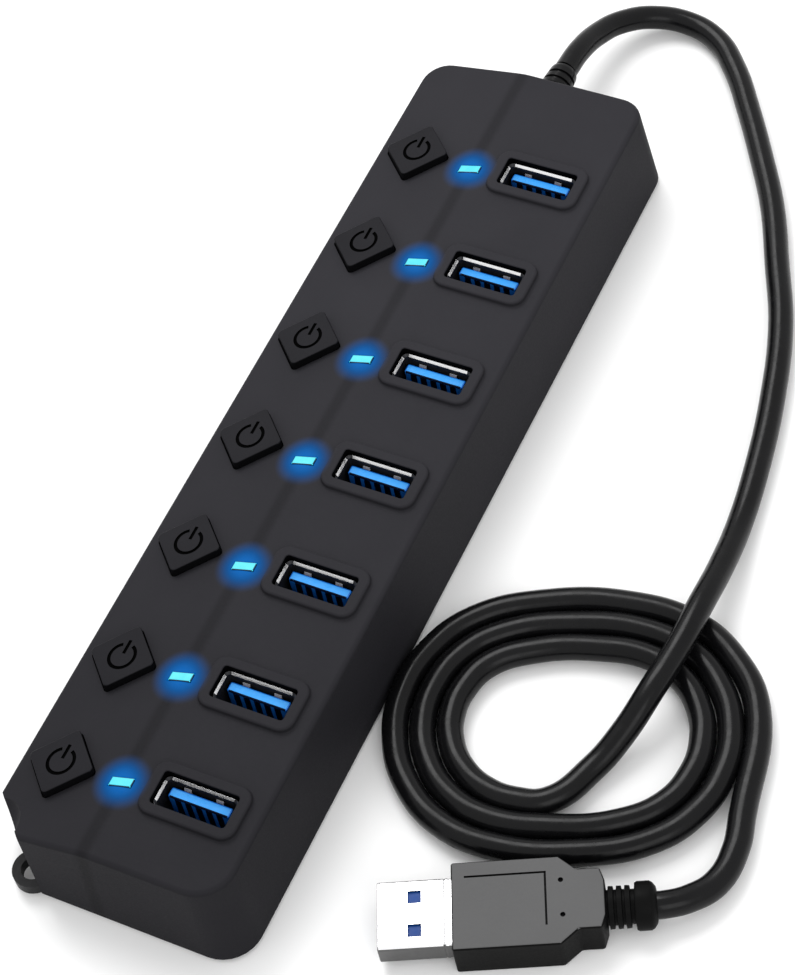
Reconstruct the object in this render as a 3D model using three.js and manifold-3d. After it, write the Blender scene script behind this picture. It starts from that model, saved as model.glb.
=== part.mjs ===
// A seven-port USB hub with a power button and a lit window beside every port, and its data cable and plug.
// Millimetres, +Z up. X runs across the hub, +Y along it towards the cable, and the origin is at the
// bottom centre of the hub, where its rubber feet stand on the table.
import * as THREE from 'three';
import { mergeVertices } from 'three/addons/utils/BufferGeometryUtils.js';
import Module from 'manifold-3d';

const wasm = await Module();
wasm.setup();

// ---- Driving dimensions ----

// Housing. Its walls lean in towards the top.
const BASE_WIDTH = 47.4;
const BASE_LENGTH = 176;
const TOP_WIDTH = 43.4;
const TOP_LENGTH = 173;
const BASE_Z = 1;
const TOP_Z = 19.5;
const WALL = 2;
const CORNER_RADII = { nearRight: 6.5, farRight: 4.5, farLeft: 4.5, nearLeft: 6.2 };
const CORNER_STEPS = 5;

// The deck is flat over the ports and slopes down to the left of the crease, under the buttons.
const CREASE_X = -2.7;
const SLOPE = Math.tan(THREE.MathUtils.degToRad(12));

// Stations along the hub: the nearest port is a little closer to its neighbour than the others are.
const PORT_PITCH = 22.75;
const LAST_PITCH = 20.75;
const FIRST_PORT_Y = 62.95;
const PORT_COUNT = 7;

// Ports: a steel socket stands upright in a window with a raised bezel.
const PORT_X = 10.25;
const SOCKET = { width: 13.1, depth: 5.7, wall: 0.3, bottom: 6, top: 19.8 };
const PORT_WINDOW = { width: 13.5, depth: 6.1, radius: 0.6 };
const BEZEL = { width: 17.4, depth: 9.9, radius: 2.5, height: 1 };
const TONGUE = { width: 11.1, thickness: 1.84, centreY: 0.98, top: 17.8 };
const TONGUE_BASE = { width: 12.2, depth: 4.8, top: 9.5 };

// Buttons: square caps turned by 45 degrees.
const BUTTON_X = -14.1;
// How far each button is from its port along the hub, from port 1 to port 7.
const BUTTON_SHIFTS_Y = [0.6, 0.7, 0.6, 0.8, 0.4, -0.7, -0.95];
const BUTTON_SIDE = 9;
const BUTTON_RADIUS = 0.8;
const BUTTON_GAP = 0.2;
const BUTTON_RISE = 1.6;
const BUTTON_BOTTOM = 11.8;
const FLANGE_SIDE = 9.8;
const FLANGE_RADIUS = 2.2;
const FLANGE_DROP = 2.4;
const STEM = { radius: 1.5, bottom: 9.3 };

// Lit windows, on the crease.
const LIGHT = { width: 4, depth: 2, shiftY: -1.04, bottom: 8, proud: 0.15, gap: 0.2 };

// Circuit board and what stands on it.
const BOARD = { width: 40, length: 165, bottom: 4.4, top: 6 };
const SWITCH = { side: 7, top: 10, holeRadius: 1.9, holeBottom: 7.8 };
const CHIP = { side: 7, height: 0.9, x: -3 };
const CRYSTAL = { width: 11, depth: 4.5, height: 3.5 };
const CAPACITOR = { radius: 3.15, height: 7.7 };
const HEADER = { width: 8, depth: 6, height: 5, y: 76 };

// Bottom cover, its screws and feet.
const COVER_TOP = 3;
const COVER_GAP = 0.25;
const STANDOFF_RADIUS = 2;
const STANDOFFS = [[-15.5, 48], [15.5, 51.5], [-15.5, -43], [15.5, -39.5]];
const BOSSES = [
  { x: -16.5, y: 79, top: 15.5 },
  { x: 16.5, y: 79, top: 18 },
  { x: -9, y: -80.5, top: 17 },
  { x: 16.5, y: -80.5, top: 18 },
];
const BOSS = { radius: 2.6, pilotRadius: 1.2, bottom: 3.2, pilotTop: 12 };
const SCREW = { headRadius: 2.3, headBottom: 1.1, headTop: 2.1, radius: 1.05, top: 10 };
const SCREW_HOLE = { radius: 1.4, recessRadius: 2.6, recessTop: 2.2 };
const FEET = [[-16, 66], [16, 66], [-16, -66], [16, -66]];
const FOOT_RADIUS = 4;

// The near left corner is cut off by an upright plane, with a round scoop in its top edge.
// A lanyard eyelet, part of the bottom cover, stands out from the foot of the cut.
const CORNER = { x: -17.3, y: -84.3, heading: 225 };
const SCOOP = { out: 3, across: -1.9, z: 17.5, radius: 5 };
const EYELET = { across: 1.5, outerRadius: 3.5, innerRadius: 2, top: 3.2 };

// Cable and strain relief.
const CABLE_RADIUS = 2.25;
const CABLE_EXIT = { y: 97, z: 9.5 };
const CABLE_FLOOR = 2.35;
const CABLE_SIDES = 10;
const JOIN_GAP = 0.3;

// The cable's free run, from the strain relief round to the coil, which it enters over the top.
const RUN_POINTS = [
  [0, 97.3, 9.5], [0.2, 103.5, 8.8], [1.2, 110.3, 7], [3.6, 115.8, 5.4], [8.3, 120.2, 3.8], [14.7, 121.8, 2.7],
  [21.2, 119.8, CABLE_FLOOR], [27.2, 114, CABLE_FLOOR], [33.6, 105, CABLE_FLOOR], [40, 95, CABLE_FLOOR],
  [46.2, 84.5, CABLE_FLOOR], [51.7, 72.5, CABLE_FLOOR], [57.4, 59.5, CABLE_FLOOR], [61.8, 44, CABLE_FLOOR],
  [64.6, 29.5, CABLE_FLOOR], [66.2, 17, 2.7], [67, 7, 4.8], [67.2, -3, 7.1], [66.9, -12, 7.4],
  [65.9, -20.5, 7.2], [63.9, -28.5, 4.4], [61.4, -35, CABLE_FLOOR],
];
// The last of the cable, from the coil to the plug.
const TAIL_POINTS = [
  [86.9, -34.6, CABLE_FLOOR], [88.1, -40.5, CABLE_FLOOR], [87.6, -47.1, 2.8], [85.2, -51.2, 3.5],
  [81.45, -54.4, 4.05],
];
// The coil is a flat oval of three turns beside the hub.
const COIL = { x: 50.1, y: -31.6, stretch: 10, heading: 20, inner: 11.2, outer: 25.2, top: 4.5 };

// Plug, in its own frame: X runs from the cable to the tip.
const PLUG = { x: 74.4, y: -57.7, z: 4.05, heading: 205.5 };
// The collar and boot, from the cable's end, as radius and distance along the plug.
const BOOT_PROFILE = [
  [0, -7], [3, -7], [3.9, -6], [3.9, -3.6], [2.9, -3.6], [2.9, -2.8], [3.4, -2.8], [3.4, 2], [0, 2],
];
const GRIP = { back: 0.9, front: 25, width: 15.2, thickness: 8, radius: 1.6 };
// Half of the grip's outline in plan, from its narrow back to its front.
const GRIP_OUTLINE = [[0.9, 3], [1.6, 5.2], [5.2, 5.2], [8, 7.6], [25, 7.6]];
const PLUG_SHELL = { back: 19.4, front: 36.9, width: 12, thickness: 4.5, wall: 0.3 };
const PLUG_HOLE = { x: 31, y: 2.9, side: 2.2 };
const PLUG_TONGUE = { back: 20, front: 36.5, width: 11, bottom: 0.05, top: 1.8 };

// ---- Materials ----

const plastic = (color, roughness) => new THREE.MeshStandardMaterial({ color, roughness, metalness: 0 });
const metal = (color, roughness) => new THREE.MeshStandardMaterial({ color, roughness, metalness: 1 });

const materials = {
  housing: plastic(0x3c3b40, 0.6),
  cover: plastic(0x333236, 0.7),
  button: plastic(0x242426, 0.55),
  light: new THREE.MeshStandardMaterial({ color: 0x50dcff, roughness: 0.3, emissive: 0x30c0ff }),
  steel: metal(0xc8c8cc, 0.3),
  blue: plastic(0x1470dc, 0.4),
  board: plastic(0x14603a, 0.5),
  black: plastic(0x151517, 0.5),
  aluminium: metal(0xb4b6ba, 0.35),
  nylon: plastic(0xe6e2d4, 0.5),
  rubber: plastic(0x1b1b1b, 0.9),
  cable: plastic(0x101012, 0.35),
  grip: plastic(0x2e2e30, 0.5),
};

// ---- Geometry helpers ----

const hub = new THREE.Group();

// A closed three.js geometry as a solid that can be joined and cut.
function solid(geometry) {
  const bare = geometry.index ? geometry.toNonIndexed() : geometry.clone();
  bare.deleteAttribute('normal');
  bare.deleteAttribute('uv');
  const merged = mergeVertices(bare, 1e-5);
  return new wasm.Manifold(new wasm.Mesh({
    numProp: 3,
    vertProperties: new Float32Array(merged.attributes.position.array),
    triVerts: new Uint32Array(merged.index.array),
  }));
}

function geometryOf(body) {
  const { vertProperties, triVerts, numProp } = body.getMesh();
  const positions = new Float32Array(triVerts.length * 3);
  triVerts.forEach((vertex, i) => {
    for (let axis = 0; axis < 3; axis += 1) {
      positions[i * 3 + axis] = vertProperties[vertex * numProp + axis];
    }
  });
  const geometry = new THREE.BufferGeometry();
  geometry.setAttribute('position', new THREE.BufferAttribute(positions, 3));
  geometry.computeVertexNormals();
  return geometry;
}

function addPiece(name, shape, material, parent = hub) {
  const mesh = new THREE.Mesh(shape.isBufferGeometry ? shape : geometryOf(shape), material);
  mesh.name = name;
  parent.add(mesh);
  return mesh;
}

function roundedRectangle(width, depth, radius) {
  const x = width / 2;
  const y = depth / 2;
  const shape = new THREE.Shape();
  shape.moveTo(x, y - radius);
  shape.absarc(x - radius, y - radius, radius, 0, Math.PI / 2);
  shape.absarc(-x + radius, y - radius, radius, Math.PI / 2, Math.PI);
  shape.absarc(-x + radius, -y + radius, radius, Math.PI, Math.PI * 1.5);
  shape.absarc(x - radius, -y + radius, radius, Math.PI * 1.5, Math.PI * 2);
  return shape;
}

// A shape stood up from one height to another.
function prism(shape, bottom, top, curveSegments = 3) {
  const geometry = new THREE.ExtrudeGeometry(shape, { depth: top - bottom, bevelEnabled: false, curveSegments });
  return geometry.translate(0, 0, bottom);
}

function block(width, depth, bottom, top) {
  return new THREE.BoxGeometry(width, depth, top - bottom).translate(0, 0, (bottom + top) / 2);
}

function post(radius, bottom, top, sides = 16) {
  return new THREE.CylinderGeometry(radius, radius, top - bottom, sides)
    .rotateX(Math.PI / 2)
    .translate(0, 0, (bottom + top) / 2);
}

// The housing's outline in plan: a rectangle with its own radius at each corner.
function housingOutline(width, length, inset = 0) {
  const corners = [
    { x: width / 2, y: -length / 2, radius: CORNER_RADII.nearRight, start: -90 },
    { x: width / 2, y: length / 2, radius: CORNER_RADII.farRight, start: 0 },
    { x: -width / 2, y: length / 2, radius: CORNER_RADII.farLeft, start: 90 },
    { x: -width / 2, y: -length / 2, radius: CORNER_RADII.nearLeft, start: 180 },
  ];
  const points = [];
  for (const { x, y, radius, start } of corners) {
    const centre = new THREE.Vector2(x - Math.sign(x) * radius, y - Math.sign(y) * radius);
    for (let step = 0; step <= CORNER_STEPS; step += 1) {
      const angle = THREE.MathUtils.degToRad(start + (90 * step) / CORNER_STEPS);
      const reach = radius - inset;
      points.push(new THREE.Vector2(centre.x + reach * Math.cos(angle), centre.y + reach * Math.sin(angle)));
    }
  }
  return points;
}

// Width and length of the leaning walls at a height.
function sizeAt(z) {
  const share = (z - BASE_Z) / (TOP_Z - BASE_Z);
  return [
    THREE.MathUtils.lerp(BASE_WIDTH, TOP_WIDTH, share),
    THREE.MathUtils.lerp(BASE_LENGTH, TOP_LENGTH, share),
  ];
}

// A solid between the housing's outline at two heights. Both outlines are convex, so each cap is a fan.
function housingLoft(bottom, top, inset = 0) {
  const lower = housingOutline(...sizeAt(bottom), inset);
  const upper = housingOutline(...sizeAt(top), inset);
  const count = lower.length;
  const positions = [
    ...lower.flatMap((point) => [point.x, point.y, bottom]),
    ...upper.flatMap((point) => [point.x, point.y, top]),
  ];
  const index = [];
  for (let i = 0; i < count; i += 1) {
    const next = (i + 1) % count;
    index.push(i, next, count + next, i, count + next, count + i);
    if (i > 0 && next > 0) {
      index.push(0, next, i, count, count + i, count + next);
    }
  }
  const geometry = new THREE.BufferGeometry();
  geometry.setAttribute('position', new THREE.Float32BufferAttribute(positions, 3));
  geometry.setIndex(index);
  return solid(geometry);
}

// Everything above the deck, when the deck is raised or lowered by an offset.
function aboveDeck(offset) {
  const reach = 40;
  const crest = TOP_Z + offset;
  const roof = TOP_Z + reach;
  const shape = new THREE.Shape([
    new THREE.Vector2(reach, crest),
    new THREE.Vector2(reach, roof),
    new THREE.Vector2(-reach, roof),
    new THREE.Vector2(-reach, crest - (reach + CREASE_X) * SLOPE),
    new THREE.Vector2(CREASE_X, crest),
  ]);
  const length = BASE_LENGTH + 20;
  const geometry = new THREE.ExtrudeGeometry(shape, { depth: length, bevelEnabled: false });
  return solid(geometry.rotateX(Math.PI / 2).translate(0, length / 2, 0));
}

function moved(geometry, x, y) {
  return solid(geometry.translate(x, y, 0));
}

function diamond(side, radius, bottom, top) {
  return prism(roundedRectangle(side, side, radius), bottom, top).rotateZ(Math.PI / 4);
}

const stations = [];
for (let i = 0; i < PORT_COUNT; i += 1) {
  const short = i === PORT_COUNT - 1 ? PORT_PITCH - LAST_PITCH : 0;
  stations.push(FIRST_PORT_Y - i * PORT_PITCH + short);
}

const ROOF_CUT = TOP_Z + 5;
const skyAtDeck = aboveDeck(0);

// ---- Housing ----

function makeTopShell() {
  const underDeck = aboveDeck(-WALL);
  let shell = housingLoft(BASE_Z, TOP_Z).subtract(skyAtDeck);
  let cavity = housingLoft(BASE_Z - 1, TOP_Z, WALL).subtract(underDeck);
  cavity = cavity.subtract(beyondCorner(-WALL)).subtract(scoop(SCOOP.radius + WALL));
  shell = shell.subtract(cavity);

  for (const { x, y, top } of BOSSES) {
    shell = shell.add(moved(post(BOSS.radius, BOSS.bottom, top), x, y));
    shell = shell.subtract(moved(post(BOSS.pilotRadius, BOSS.bottom - 1, BOSS.pilotTop, 12), x, y));
  }
  for (const [i, y] of stations.entries()) {
    const bezel = roundedRectangle(BEZEL.width, BEZEL.depth, BEZEL.radius);
    const port = roundedRectangle(PORT_WINDOW.width, PORT_WINDOW.depth, PORT_WINDOW.radius);
    const buttonWindow = diamond(BUTTON_SIDE + 2 * BUTTON_GAP, BUTTON_RADIUS, BOSS.pilotTop, ROOF_CUT);
    const lightWindow = block(LIGHT.width + 2 * LIGHT.gap, LIGHT.depth + 2 * LIGHT.gap, BOSS.pilotTop, ROOF_CUT);
    shell = shell.add(moved(prism(bezel, TOP_Z - WALL / 2, TOP_Z + BEZEL.height, 5), PORT_X, y));
    shell = shell.subtract(moved(prism(port, BOSS.pilotTop, ROOF_CUT), PORT_X, y));
    shell = shell.subtract(moved(buttonWindow, BUTTON_X, y + BUTTON_SHIFTS_Y[i]));
    shell = shell.subtract(moved(lightWindow, CREASE_X, y + LIGHT.shiftY));
  }

  shell = shell.subtract(beyondCorner(0)).subtract(scoop(SCOOP.radius)).subtract(eyeletTab(COVER_GAP));
  const neck = new THREE.CylinderGeometry(3.2, 3.2, 12, 20).translate(0, BASE_LENGTH / 2, CABLE_EXIT.z);
  return shell.subtract(solid(neck));
}

// A piece in the cut corner's own frame: X runs out of the corner, Y along the cut.
function atCorner(geometry) {
  return solid(geometry.rotateZ(THREE.MathUtils.degToRad(CORNER.heading)).translate(CORNER.x, CORNER.y, 0));
}

function beyondCorner(offset) {
  const reach = 40;
  return atCorner(block(reach, reach, -1, ROOF_CUT).translate(offset + reach / 2, 0, 0));
}

function scoop(radius) {
  return atCorner(new THREE.SphereGeometry(radius, 32, 20).translate(SCOOP.out, SCOOP.across, SCOOP.z));
}

// The tab that joins the eyelet to the bottom cover, through a notch in the top shell.
function eyeletTab(gap) {
  const depth = WALL + 2 * COVER_GAP;
  const bottom = gap > 0 ? 0 : BASE_Z;
  const tab = block(depth, 2 * (EYELET.outerRadius + gap), bottom, EYELET.top + gap);
  return atCorner(tab.translate(-depth / 2, EYELET.across, 0));
}

function makeBottomCover() {
  const plateShape = new THREE.Shape(housingOutline(...sizeAt(COVER_TOP), WALL + COVER_GAP));
  const ring = atCorner(post(EYELET.outerRadius, BASE_Z, EYELET.top, 32).translate(0, EYELET.across, 0));
  let cover = solid(prism(plateShape, BASE_Z, COVER_TOP)).subtract(beyondCorner(-WALL - COVER_GAP));
  cover = cover.add(eyeletTab(0)).add(ring);
  for (const [x, y] of STANDOFFS) {
    cover = cover.add(moved(post(STANDOFF_RADIUS, COVER_TOP - 0.5, BOARD.bottom), x, y));
  }
  for (const { x, y } of BOSSES) {
    cover = cover.subtract(moved(post(SCREW_HOLE.radius, 0, COVER_TOP + 1), x, y));
    cover = cover.subtract(moved(post(SCREW_HOLE.recessRadius, 0, SCREW_HOLE.recessTop), x, y));
  }
  const eye = atCorner(post(EYELET.innerRadius, 0, EYELET.top + 1, 32).translate(0, EYELET.across, 0));
  return cover.subtract(eye.intersect(beyondCorner(0)));
}

addPiece('top_shell', makeTopShell(), materials.housing);
addPiece('bottom_cover', makeBottomCover(), materials.cover);

BOSSES.forEach(({ x, y }, i) => {
  const { headRadius, headBottom, headTop, radius, top } = SCREW;
  const profile = [[0, headBottom], [headRadius, headBottom], [headRadius, headTop], [radius, headTop],
    [radius, top - 1], [0, top]].map(([r, z]) => new THREE.Vector2(r, z));
  const screw = addPiece(`case_screw_${i + 1}`, new THREE.LatheGeometry(profile, 12).rotateX(Math.PI / 2),
    materials.aluminium);
  screw.position.set(x, y, 0);
});

FEET.forEach(([x, y], i) => {
  const foot = addPiece(`rubber_foot_${i + 1}`, post(FOOT_RADIUS, 0, BASE_Z, 20), materials.rubber);
  foot.position.set(x, y, 0);
});

// ---- Ports, buttons and lit windows, one set at each station ----

function makeSocketShell() {
  const { width, depth, wall, bottom, top } = SOCKET;
  const outside = solid(prism(roundedRectangle(width, depth, 0.5), bottom, top, 2));
  const inside = prism(roundedRectangle(width - 2 * wall, depth - 2 * wall, 0.3), bottom - 1, top + 1, 2);
  return outside.subtract(solid(inside));
}

function makeSocketTongue() {
  const base = solid(block(TONGUE_BASE.width, TONGUE_BASE.depth, SOCKET.bottom, TONGUE_BASE.top));
  const blade = block(TONGUE.width, TONGUE.thickness, TONGUE_BASE.top - 1, TONGUE.top);
  return base.add(moved(blade, 0, TONGUE.centreY));
}

// The cap's top face is parallel to the sloping deck, and a wider flange keeps it behind the deck.
function makeButton() {
  const place = (geometry) => moved(geometry, BUTTON_X, 0);
  const cap = place(diamond(BUTTON_SIDE, BUTTON_RADIUS, BUTTON_BOTTOM, ROOF_CUT));
  const flange = place(diamond(FLANGE_SIDE, FLANGE_RADIUS, BUTTON_BOTTOM, ROOF_CUT)).subtract(aboveDeck(-FLANGE_DROP));
  const stem = place(post(STEM.radius, STEM.bottom, BUTTON_BOTTOM + 0.5));
  return cap.subtract(aboveDeck(BUTTON_RISE)).add(flange).add(stem);
}

function makeSwitchBody() {
  const body = solid(block(SWITCH.side, SWITCH.side, BOARD.top, SWITCH.top));
  return body.subtract(solid(post(SWITCH.holeRadius, SWITCH.holeBottom, SWITCH.top + 1)));
}

function makeLightWindow() {
  const bar = moved(block(LIGHT.width, LIGHT.depth, LIGHT.bottom, ROOF_CUT), CREASE_X, 0);
  return bar.subtract(aboveDeck(LIGHT.proud));
}

stations.forEach((y, i) => {
  const number = i + 1;
  const socket = addPiece(`usb_socket_shell_${number}`, makeSocketShell(), materials.steel);
  socket.position.set(PORT_X, y, 0);
  const tongue = addPiece(`usb_socket_tongue_${number}`, makeSocketTongue(), materials.blue);
  tongue.position.set(PORT_X, y, 0);
  const button = addPiece(`power_button_${number}`, makeButton(), materials.button);
  button.position.set(0, y + BUTTON_SHIFTS_Y[i], 0);
  const body = addPiece(`button_switch_${number}`, makeSwitchBody(), materials.black);
  body.position.set(BUTTON_X, y + BUTTON_SHIFTS_Y[i], 0);
  const light = addPiece(`light_window_${number}`, makeLightWindow(), materials.light);
  light.position.set(0, y + LIGHT.shiftY, 0);
});

// ---- Circuit board and components ----

function makeBoard() {
  const { width, length, bottom, top } = BOARD;
  let board = solid(prism(roundedRectangle(width, length, 3), bottom, top));
  for (const { x, y } of BOSSES) {
    board = board.subtract(moved(post(BOSS.radius + 0.4, 0, ROOF_CUT), x, y));
  }
  return board.subtract(beyondCorner(-WALL - 0.6));
}

addPiece('circuit_board', makeBoard(), materials.board);
const middleY = (i) => (stations[i] + stations[i + 1]) / 2;
[1, 4].forEach((i, count) => {
  const chip = addPiece(`hub_chip_${count + 1}`, block(CHIP.side, CHIP.side, BOARD.top, BOARD.top + CHIP.height),
    materials.black);
  chip.position.set(CHIP.x, middleY(i), 0);
});
const crystal = addPiece('crystal', block(CRYSTAL.width, CRYSTAL.depth, BOARD.top, BOARD.top + CRYSTAL.height),
  materials.steel);
crystal.position.set(PORT_X, middleY(2), 0);
const capacitor = addPiece('power_capacitor', post(CAPACITOR.radius, BOARD.top, BOARD.top + CAPACITOR.height, 20),
  materials.aluminium);
capacitor.position.set(PORT_X, middleY(0), 0);
const header = addPiece('cable_header', block(HEADER.width, HEADER.depth, BOARD.top, BOARD.top + HEADER.height),
  materials.nylon);
header.position.set(0, HEADER.y, 0);

// ---- Cable ----

// A flange inside the end wall, a neck through it and a boot that tapers along the cable.
function makeStrainRelief() {
  const profile = [[0, 83.6], [4.2, 83.6], [4.2, 85], [3, 85], [3, 87.7], [4.2, 87.7], [4.2, 89.2],
    [2.8, CABLE_EXIT.y], [0, CABLE_EXIT.y]].map(([r, y]) => new THREE.Vector2(r, y));
  return new THREE.LatheGeometry(profile, 16).translate(0, 0, CABLE_EXIT.z);
}

function makeTube(points, steps) {
  const curve = new THREE.CatmullRomCurve3(points.map((point) => new THREE.Vector3(...point)), false, 'centripetal');
  const section = new THREE.Shape();
  for (let side = 0; side < CABLE_SIDES; side += 1) {
    const angle = (side / CABLE_SIDES) * Math.PI * 2;
    const corner = [CABLE_RADIUS * Math.cos(angle), CABLE_RADIUS * Math.sin(angle)];
    if (side === 0) {
      section.moveTo(...corner);
    } else {
      section.lineTo(...corner);
    }
  }
  return new THREE.ExtrudeGeometry(section, { steps, extrudePath: curve });
}

// An oval in plan: a circle of the given radius drawn out along the coil's heading.
function oval(radius) {
  const half = COIL.stretch / 2;
  const shape = new THREE.Shape();
  shape.moveTo(half, -radius);
  shape.absarc(half, 0, radius, -Math.PI / 2, Math.PI / 2);
  shape.absarc(-half, 0, radius, Math.PI / 2, Math.PI * 1.5);
  return shape;
}

function makeCoil() {
  const ring = solid(prism(oval(COIL.outer), 0.1, COIL.top, 16));
  return ring.subtract(solid(prism(oval(COIL.inner), -1, COIL.top + 1, 12)));
}

addPiece('cable_strain_relief', makeStrainRelief(), materials.cable);
addPiece('cable_run', makeTube(RUN_POINTS, 30), materials.cable);
const coilHeading = THREE.MathUtils.degToRad(COIL.heading);
const coil = addPiece('cable_coil', makeCoil(), materials.cable);
coil.rotation.z = coilHeading;
coil.position.set(
  COIL.x + (COIL.stretch / 2) * Math.cos(coilHeading),
  COIL.y + (COIL.stretch / 2) * Math.sin(coilHeading),
  0,
);
addPiece('cable_tail', makeTube(TAIL_POINTS, 8), materials.cable);

// ---- Plug ----

// A section across the plug, drawn out from one place along it to another.
function along(shape, back, front, curveSegments = 3) {
  const geometry = new THREE.ExtrudeGeometry(shape, { depth: front - back, bevelEnabled: false, curveSegments });
  return geometry.rotateZ(Math.PI / 2).rotateY(Math.PI / 2).translate(back, 0, 0);
}

function makeGrip() {
  const { back, front, width, thickness, radius } = GRIP;
  const outline = [...GRIP_OUTLINE, ...GRIP_OUTLINE.map(([x, y]) => [x, -y]).reverse()];
  const plan = prism(new THREE.Shape(outline.map(([x, y]) => new THREE.Vector2(x, y))), -thickness, thickness);
  const bootProfile = BOOT_PROFILE.map(([r, x]) => new THREE.Vector2(r, x));
  const boot = new THREE.LatheGeometry(bootProfile, 20).rotateZ(-Math.PI / 2);
  const pocket = roundedRectangle(PLUG_SHELL.width + 2 * JOIN_GAP, PLUG_SHELL.thickness + 2 * JOIN_GAP, 0.6);
  return solid(along(roundedRectangle(width, thickness, radius), back, front, 4))
    .intersect(solid(plan))
    .add(solid(boot))
    .subtract(solid(along(pocket, PLUG_SHELL.back - JOIN_GAP, front + 1)));
}

function makePlugShell() {
  const { back, front, width, thickness, wall } = PLUG_SHELL;
  const inside = roundedRectangle(width - 2 * wall, thickness - 2 * wall, 0.3);
  let shell = solid(along(roundedRectangle(width, thickness, 0.5), back, front));
  shell = shell.subtract(solid(along(inside, back - 1, front + 1)));
  for (const side of [-1, 1]) {
    const hole = block(PLUG_HOLE.side, PLUG_HOLE.side, -thickness, thickness);
    shell = shell.subtract(moved(hole, PLUG_HOLE.x, side * PLUG_HOLE.y));
  }
  return shell;
}

function makePlugTongue() {
  const { back, front, width, bottom, top } = PLUG_TONGUE;
  return block(front - back, width, bottom, top).translate((back + front) / 2, 0, 0);
}

const plug = new THREE.Group();
plug.position.set(PLUG.x, PLUG.y, PLUG.z);
plug.rotation.z = THREE.MathUtils.degToRad(PLUG.heading);
hub.add(plug);
addPiece('plug_grip', makeGrip(), materials.grip, plug);
addPiece('plug_shell', makePlugShell(), materials.steel, plug);
addPiece('plug_tongue', makePlugTongue(), materials.blue, plug);

export default hub;
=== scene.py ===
"""A seven-port USB hub with power buttons, lit windows, a data cable and its plug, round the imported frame."""

import math

import bmesh
import bpy
from mathutils import Matrix, Vector


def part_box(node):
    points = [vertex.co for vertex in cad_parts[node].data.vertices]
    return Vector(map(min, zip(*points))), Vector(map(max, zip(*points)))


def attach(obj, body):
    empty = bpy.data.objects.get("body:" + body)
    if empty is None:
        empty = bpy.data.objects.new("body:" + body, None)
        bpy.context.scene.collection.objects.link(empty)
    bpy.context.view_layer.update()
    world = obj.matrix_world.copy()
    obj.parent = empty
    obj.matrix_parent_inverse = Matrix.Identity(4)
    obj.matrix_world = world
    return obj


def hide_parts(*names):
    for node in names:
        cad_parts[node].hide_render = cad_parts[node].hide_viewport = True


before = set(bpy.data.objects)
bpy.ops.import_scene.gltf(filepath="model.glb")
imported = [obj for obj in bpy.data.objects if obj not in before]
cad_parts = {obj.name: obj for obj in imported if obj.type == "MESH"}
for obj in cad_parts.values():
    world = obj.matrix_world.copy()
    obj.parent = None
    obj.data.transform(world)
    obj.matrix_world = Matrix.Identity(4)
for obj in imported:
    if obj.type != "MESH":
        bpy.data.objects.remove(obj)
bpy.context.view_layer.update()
MM = 0.001
BODY = "housing"
PORTS = range(1, 8)

# Camera: angles in degrees, places in metres.
CAMERA_PLACE = (0.18077, -0.23855, 0.42002)
CAMERA_AZIMUTH = 35.515
CAMERA_ELEVATION = 54.494
CAMERA_ROLL = -12.633
CAMERA_LENS = 108.64
CAMERA_SENSOR = 36

# Stage: the lamps' sides in metres, and the floor's half-width in millimetres.
LAMP_SIZE = (0.5, 0.5)
FLOOR_REACH = 3000

# Housing, in millimetres. The walls lean in, and the deck slopes down to the left of the crease.
BASE_Z, TOP_Z = 1, 19.5
BASE_SIZE = (47.4, 176)
TOP_SIZE = (43.4, 173)
WALL = 2
CORNER_RADII = {"near_right": 6.5, "far_right": 4.5, "far_left": 4.5, "near_left": 6.2}
CREASE_X = -2.7
CREASE_SOFTNESS = 1.1
SLOPE = math.tan(math.radians(12))
EDGE_RADIUS = 0.9
CORNER = (-17.3, -84.3)
CORNER_HEADING = 225
SCOOP = {"out": 3, "across": -1.9, "z": 17.5, "radius": 5}

# Bezel, windows and buttons, in millimetres.
BEZEL = {"width": 17.4, "depth": 9.9, "radius": 2.5, "height": 1}
PORT_WINDOW = {"width": 13.5, "depth": 6.1, "radius": 0.6}
CUTTER_HEIGHTS = (12, 30)
BUTTON_SIDE, BUTTON_RADIUS, BUTTON_GAP, BUTTON_RISE = 9, 0.8, 0.2, 1.6
FLANGE_SIDE, FLANGE_RADIUS, FLANGE_DROP = 9.8, 2.2, 2.6
BUTTON_BOTTOM = 11.8
STEM_RADIUS, STEM_BOTTOM, STEM_LENGTH = 1.5, 9.3, 3
ICON_RADIUS, ICON_WIDTH, ICON_DEPTH = 2.35, 0.62, 0.3
ICON_GAP = 24
ICON_BAR = (0.5, 3.2)
ICON_REACH = 3.4
LIGHT_SIZE = (3.9, 1.75)
LIGHT_SKEW = 0.2
LIGHT_GAP = 0.12
LIGHT_RIM = 0.12
LIGHT_BOTTOM = 8

# Painted light and shade on the housing's plastic: a painted blue glow round each lit window, and painted shade
# under the glow, along the crease, towards the near end and on the walls. Each shade is where it starts, where
# it ends, and how dark or light it gets.
# Painted glow: where the blue halo fades out, where it is full, and its colour.
HALO_REACH, HALO_CORE = 0.0055, 0.0009
HALO_GLOW = (0.0, 0.135, 0.49)
HALO_SHADE = (0, 0.7, 1, 0.05)
CREASE_SHADE = (0.0003, 0.0018, 0.7, 1)
NEAR_END_SHADE = (-0.09, 0.05, 0.74, 1)
WALL_SHADE = (0.3, 0.8, 0.8, 1)

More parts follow.
